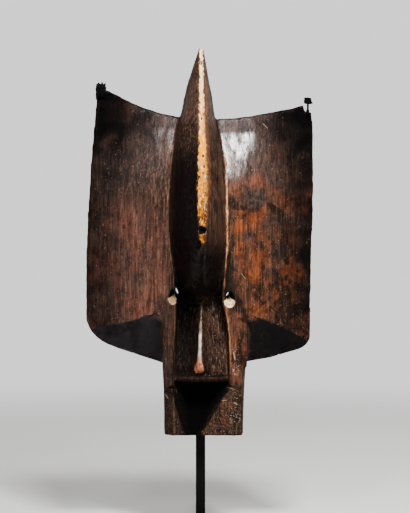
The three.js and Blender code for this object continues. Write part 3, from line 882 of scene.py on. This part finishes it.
class Wood(Finish):
    """The carving's material, with the areas that its mesh carries, the place of each point on the mask in
    millimetres, and the noises that its layers share."""

    def __init__(self, name):
        super().__init__(name)
        for area in AREAS:
            setattr(self, area, self.node("Attribute", {"attribute_name": area}, output="Fac"))
        self.x = self.axis("X") / MM
        self.depth = FOOT_CENTRE_DEPTH - self.axis("Y") / MM
        self.height = self.axis("Z") / MM - MASK_LIFT
        self.right = self.rise(self.x, -10, 30)
        self.clouds = self.noise(60, 110, detail=4, roughness=0.6, distortion=0.4)
        self.patches = self.noise(34, 52, detail=4, roughness=0.6, distortion=0.6, shift=3.7, tilt=0.35)
        self.blots = self.noise(32, 36, detail=3, roughness=0.56, distortion=0.8, shift=21.3)
        self.streaks = self.noise(7, 120, detail=3, roughness=0.6, distortion=0.5, shift=9.3)
        self.grain = self.noise(3.0, 60, detail=3, roughness=0.6, distortion=0.5, shift=1.3)
        self.fine_grain = self.noise(1.6, 34, detail=2, roughness=0.6, shift=8.1)
        self.mottle = self.noise(6.5, 10, detail=4, roughness=0.66, shift=5.5)
        self.pepper = self.noise(2.6, 4.0, detail=2, roughness=0.6, shift=2.2)
        self.chips = self.noise(3.2, 14, detail=3, roughness=0.65, shift=17.0)
        upright = self.noise(1.5, 110, detail=3, roughness=0.6, distortion=0.4, shift=31.0)
        self.lines = self.rise(upright, 0.54, 0.68)

    def strokes(self, across, length, tilt, shift, level):
        """Sparse thin strokes that lean from upright by the tilt. The lower the level, the more of them."""
        turned = self.node("VectorRotate", {"rotation_type": "Y_AXIS"},
                           {"Vector": self.place, "Angle": tilt})
        mapped = self.node("Mapping", sockets={
            "Vector": turned, "Location": (shift, shift * 0.6, -shift),
            "Scale": (1000 / across, 1000 / (across * 6), 1000 / length)})
        field = self.node("TexNoise", sockets={"Vector": mapped, "Scale": 1.0, "Detail": 1.0})
        return self.rise(field, level, level + 0.03)

    def scratch(self, left, high, right, low, half_width):
        """A single scratch on the front of the mask, between two points."""
        across, down = right - left, high - low
        length = math.hypot(across, down)
        x = self.x - left
        drop = high - self.height
        on = (x * (across / length) + drop * (down / length)) / length
        off = (x * (down / length) - drop * (across / length)).absolute()
        ends = self.rise(on, -0.1, 0.2) * self.rise(on, 1.1, 0.8) * self.rise(self.depth, 35, 45)
        return self.rise(off, half_width, half_width * 0.4) * ends


def patina(f):
    """A dark grey brown, pinker on the left ear, that thins to red and orange in clouds, under a painted grey
    violet sheen on the ears' tops.
    """
    colour = f.mix(f.rise(f.clouds, 0.38, 0.62), "dark patina", "grey patina")
    colour = f.mix(f.warm * 0.6, colour, f.mix(f.right, "pink patina", "brown patina"))
    thin = f.rise(f.patches * 0.8 + f.clouds * 0.35, 0.48, 0.74) * (f.warm * 0.9 + 0.1)
    colour = f.mix(thin * (0.5 + f.right * 0.32), colour, f.mix(f.right, "thin red", "thin orange"))
    colour = f.mix(f.rise(f.blots, 0.5, 0.6) * (0.2 + f.right * 0.7), colour, "blot")
    colour = f.mix(f.glow * (0.35 + f.rise(f.patches, 0.3, 0.6) * 0.45), colour, "worn orange")
    colour = f.mix(f.rise(f.mottle, 0.5, 0.66) * 0.55, colour, "dark mottle")
    colour = f.mix(f.rise(f.mottle, 0.44, 0.32) * 0.35, colour, "pale mottle")
    # A painted grey violet sheen over the ears' tops.
    colour = f.mix(f.veil * (0.06 + f.streaks * 0.34), colour, "painted grey sheen")
    colour = f.mix(f.rise(f.grain, 0.5, 0.64) * 0.5, colour, "dark grain")
    colour = f.mix(f.rise(f.streaks, 0.48, 0.72) * 0.35, colour, "dark streak")
    colour = f.mix(f.rise(f.grain, 0.44, 0.34) * 0.3, colour, "pale grain")
    colour = f.mix(f.rise(f.fine_grain, 0.56, 0.7) * 0.35, colour, "pale fine grain")
    colour = f.mix(f.rise(f.pepper, 0.6, 0.68) * 0.5, colour, "dark speck")
    return f.mix(f.rise(f.pepper, 0.34, 0.28) * 0.4, colour, "pale speck")


def pocked(f, colour):
    """The jaw is pocked all over with pale specks, and so are a few areas beside it."""
    jaw = f.rise(f.height, 92, 84)
    pocks = f.rise(f.noise(2.1, 2.0, detail=3, roughness=0.7, shift=41.0), 0.55, 0.64)
    return f.mix(pocks * (jaw * 0.55).highest(f.flecks), colour, f.mix(f.flecks, "pock", "bright pock"))


def stained_and_shaded(f, colour):
    """Stains, painted shade in the creases and over the areas that are painted dark, the mouth painted black
    as its shadow, and the dull grey below the ears painted darker as shade where it faces down, darker still
    on the right.
    """
    stained = f.mix(f.rise(f.mottle + f.grain * 0.4, 0.6, 0.8), "stain", "dark stain")
    colour = f.mix(f.stain * 0.9, colour, stained)
    crease_shade = f.rise(f.crease, 8, 0) * 0.6
    colour = f.mix(crease_shade.highest(f.soot * (0.72 + f.mottle * 0.45)), colour, "soot")
    colour = f.mix(f.rise(f.soot, 1.1, 1.3), colour, "painted mouth shadow")
    charcoal = f.mix(f.rise(f.patches * 0.7 + f.mottle * 0.3, 0.4, 0.6), "charcoal", "pale charcoal")
    return f.mix(f.ash, colour, f.mix(f.right * 0.7, charcoal, "black charcoal"))


def edges_worn_and_lit(f, colour):
    """Corners worn through to the wood, and painted highlights along the channel's carved edges, on the jaw's
    left corner and at the rails' ends, each line with a thin brown edge, all broken up along their length.
    """
    broken = f.rise(f.mottle + f.chips * 0.6, 0.68, 0.86)
    worn = f.rise(f.corner + (f.chips - 0.5) * 9, 2.6, 0.4) * f.rub * (0.3 + broken)
    off_line = f.beside.absolute() - f.half + (f.chips - 0.5) * 8
    worn = worn.highest(f.rise(off_line, 0.8, -0.8) * f.bright * (0.3 + broken * 0.7))
    colour = f.mix(f.rise(off_line, 2.4, 0.5) * f.bright * (0.2 + f.right * 0.3), colour, "thin edge")
    return f.mix(worn, colour, "rubbed wood"), worn


def nose_lit_and_worn(f, colour):
    """The nose's ridge, worn bare and painted with a highlight: pale in the middle, brown at its upper end
    where the highlight fades, and red worn wood at its foot.
    """
    bare = f.rise(f.nose + (f.chips - 0.5) * 5, 1.2, -0.8)
    high = f.rise(f.height + (f.mottle - 0.5) * 20, 170, 184)
    low = f.rise(f.height + (f.mottle - 0.5) * 40, 142, 128)
    wood = f.mix(low, f.mix(high, "nose highlight", "brown nose"), "red nose")
    wood = f.mix(f.rise(f.mottle, 0.5, 0.62) * (0.25 + low * 0.5 + high * 0.3), wood, "nose flaw")
    return f.mix(bare * 0.85, colour, wood), bare * (1 - high * 0.75)


def marked(f, colour):
    """Scratches and specks that go through to paler wood, but not where the painted shade, the dark patina
    and the dull underside lie thick.
    """
    marks = f.strokes(0.9, 12, 0.7, 4.4, 0.79 - f.scuff * 0.05)
    marks = marks.highest(f.strokes(0.9, 10, -0.9, 9.4, 0.79 - f.scuff * 0.05))
    marks = marks.highest(f.rise(f.noise(1.9, 2.4, detail=1, shift=2.9) + f.scuff * 0.06, 0.765, 0.8))
    for scratch in SCRATCHES:
        marks = marks.highest(f.scratch(*scratch))
    marks = marks * f.rise(f.soot + f.ash, 1.3, 0.6)
    return f.mix(marks * 0.7, colour, "scratched wood"), marks


def hollow_wood(f):
    """The hollow behind keeps its own brown wood."""
    wood = f.mix(f.rise(f.patches, 0.35, 0.65), "dark hollow", "pale hollow")
    return f.mix(f.rise(f.streaks, 0.4, 0.7) * 0.6, wood, "hollow streak")


def strip_flaws(f, age, right_edge):
    """Pits, dots, fine cracks and long splits in the bare strip."""
    cracks = f.rise(f.noise(1.6, 30, detail=2, distortion=0.5, shift=6.6), 0.53, 0.59)
    pits = f.rise(f.noise(4.6, 7, detail=4, roughness=0.7, shift=12.2), 0.53, 0.58)
    dots = f.rise(f.noise(3.4, 5, detail=1, shift=19.0), 0.72, 0.76)
    long_noise = f.noise(2.6, 80, detail=3, roughness=0.6, distortion=0.8, shift=27.0)
    splits = f.rise(long_noise, 0.57, 0.63)
    flaws = cracks.highest(pits) * (0.1 + age * 0.6 + age * right_edge * 0.3)
    return flaws.highest(dots * 0.8).highest(splits * (0.15 + age * 0.7))


def strip_bared(f, colour):
    """The bare strip on the ridge: pale at the crest's tip, golden and more decayed lower down, with painted
    highlight streaks along it, a worn band beside it, a dark rim, and the two notches black."""
    age = f.rise(f.height, 490, 330)
    right_edge = f.rise(f.x, 1, 8)
    flaws = strip_flaws(f, age, right_edge)
    bare = f.mix(f.rise(f.height, 630, 490), "pale bare wood", "golden bare wood")
    bands = f.noise(5, 34, detail=3, roughness=0.6, distortion=0.4, shift=7.9)
    bare = f.mix(f.rise(bands, 0.48, 0.62) * (0.25 + age * 0.5), bare, "brown band")
    # Painted highlight streaks along the bare strip.
    bare = f.mix(f.rise(bands, 0.46, 0.36) * 0.6, bare, "highlight band")
    bare = f.mix(f.rise(f.mottle, 0.5, 0.62) * (0.12 + age * 0.7), bare, "brown decay")
    bare = f.mix(age * right_edge * 0.8, bare, "grey decay")
    bare = f.mix(flaws, bare, "crack")
    for hole in STRIP_HOLES:
        bare = f.mix(f.scratch(*hole), bare, "insect hole")

    crest_part = f.rise(f.height, 380, 430) * f.rise(f.height, 620, 570)
    worn_band = f.rise(f.strip, 9.0, 4.0) * f.rise(f.x, 4, 8) * crest_part
    colour = f.mix(worn_band * (0.2 + f.lines * 0.7), colour, "worn band")
    edge = f.strip + (f.mottle - 0.5) * 9 + (f.chips - 0.5) * 8
    colour = f.mix(f.rise(edge, 3.0, 1.0) * (0.4 + right_edge * 0.35), colour, "strip rim")
    bare = f.mix(f.rise(edge, -1.4, -0.2) * 0.5, bare, "red strip edge")
    on_strip = f.rise(edge, 0.8, -0.4)
    colour = f.mix(on_strip, colour, bare)
    colour = f.mix(f.rise(f.notch + (f.mottle - 0.5) * 0.4, 1.1, 0.95), colour, "notch")
    return colour, on_strip, flaws


def eyes_opened(f, colour):
    """The eye holes painted black inside as shade, and their outer floors fresh wood painted pale as lit from
    above, paler in the right eye.
    """
    colour = f.mix(f.rise(f.eye, 1.12, 1.0), colour, "eye hole")
    fresh = f.rise(f.eye_floor + (f.mottle - 0.5) * 0.7, 0.35, 0.6)
    floor = f.mix(f.right, "grey eye floor", "lit pale eye floor")
    floor = f.mix(f.rise(f.mottle, 0.5, 0.62) * 0.6, floor, "eye floor mottle")
    return f.mix(fresh, colour, floor), fresh


def dark_wood():
    """The carving's wood, painted in layers from the patina up."""
    f = Wood("dark_wood")
    colour = stained_and_shaded(f, pocked(f, patina(f)))
    colour = f.mix(f.lines * f.streaky * 0.45, colour, "pale line")
    colour, worn = edges_worn_and_lit(f, colour)
    colour, nose_gloss = nose_lit_and_worn(f, colour)
    colour, marks = marked(f, colour)
    colour = f.mix(f.raw, colour, hollow_wood(f))
    colour, on_strip, flaws = strip_bared(f, colour)
    colour, fresh = eyes_opened(f, colour)

    bare_share = on_strip.highest(fresh).highest(marks * 0.6).highest(worn * 0.5)
    roughness = 0.42 + f.rise(f.patches, 0.35, 0.7) * 0.1 + f.grain * 0.12
    roughness = roughness + f.soot * 0.4 + f.ash * 0.3 + f.raw * 0.2 + bare_share * 0.15

    height = f.grain * 0.7 + f.fine_grain * 0.25 + f.mottle * 0.4 + f.streaks * 0.4 - f.pepper * 0.3
    height = height * (1 - f.polish * 0.3) - marks * 0.25 - flaws * on_strip * 0.8
    wax = f.polish * f.rise(f.grain + f.fine_grain * 0.6 + f.mottle * 0.5, 1.35, 0.95)
    wax = wax * (1 - bare_share) * (1 - f.raw) * (1 - f.ash)
    wax = wax.highest(nose_gloss).highest(worn * 0.5)
    f.set(Base_Color=colour, Roughness=roughness, Normal=f.bump(height, 1.1), Coat_Weight=wax,
          Coat_Roughness=0.2, Specular_IOR_Level=0.15)
    return f.material


def black_steel():
    f = Finish("black_steel")
    cloud = f.noise(18, 60, detail=3)
    speck = f.noise(0.8, detail=2, shift=4.0)
    colour = f.mix(f.rise(cloud, 0.35, 0.7), "black steel", "worn steel")
    f.set(Base_Color=colour, Roughness=0.42 + cloud * 0.16 + speck * 0.08, Metallic=0.55,
          Normal=f.bump(speck * 0.6 + cloud * 0.4, 0.12))
    return f.material


def black_binding():
    f = Finish("blackened_binding")
    strand = f.noise(1.2, detail=3, roughness=0.7)
    cloud = f.noise(7, detail=2, shift=2.0)
    colour = f.mix(f.rise(strand, 0.35, 0.7), "black cord", "brown cord")
    f.set(Base_Color=colour, Roughness=0.75 + cloud * 0.15, Normal=f.bump(strand, 0.5),
          Specular_IOR_Level=0.15)
    return f.material


def pale_floor():
    f = Finish("studio_floor")
    haze = f.noise(900, detail=2)
    colour = f.mix(haze, "pale floor", "floor haze")
    away = f.node("VectorMath", {"operation": "LENGTH"}, {0: f.place}, output="Value")
    f.set(Base_Color=colour, Roughness=0.7 + haze * 0.1, Alpha=f.rise(away, FLOOR_RADIUS, FLOOR_FADE))
    return f.material


def main():
    add_camera()
    bpy.context.scene.view_settings.look = "AgX - Medium High Contrast"
    add_world(ambient=0.03, behind=0.7, seen=0.92)
    add_lamp("key_lamp", azimuth=13, elevation=51, size=(0.4, 0.4), power=70)
    add_lamp("gloss_lamp", azimuth=18, elevation=37, size=(0.25, 0.4), power=23)
    add_lamp("left_lamp", azimuth=-14, elevation=38, size=(0.25, 0.4), power=12)
    add_lamp("back_lamp", azimuth=155, elevation=42, size=(0.6, 0.6), power=28)
    add_floor(pale_floor())
    wood, steel, binding = dark_wood(), black_steel(), black_binding()
    add_carving(wood)
    for node in ("stand_rod", "stand_foot", "stand_saddle"):
        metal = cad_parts[node]
        metal.data.materials.clear()
        metal.data.materials.append(steel)
    add_left_tie(binding)
    add_right_tie(binding)


main()
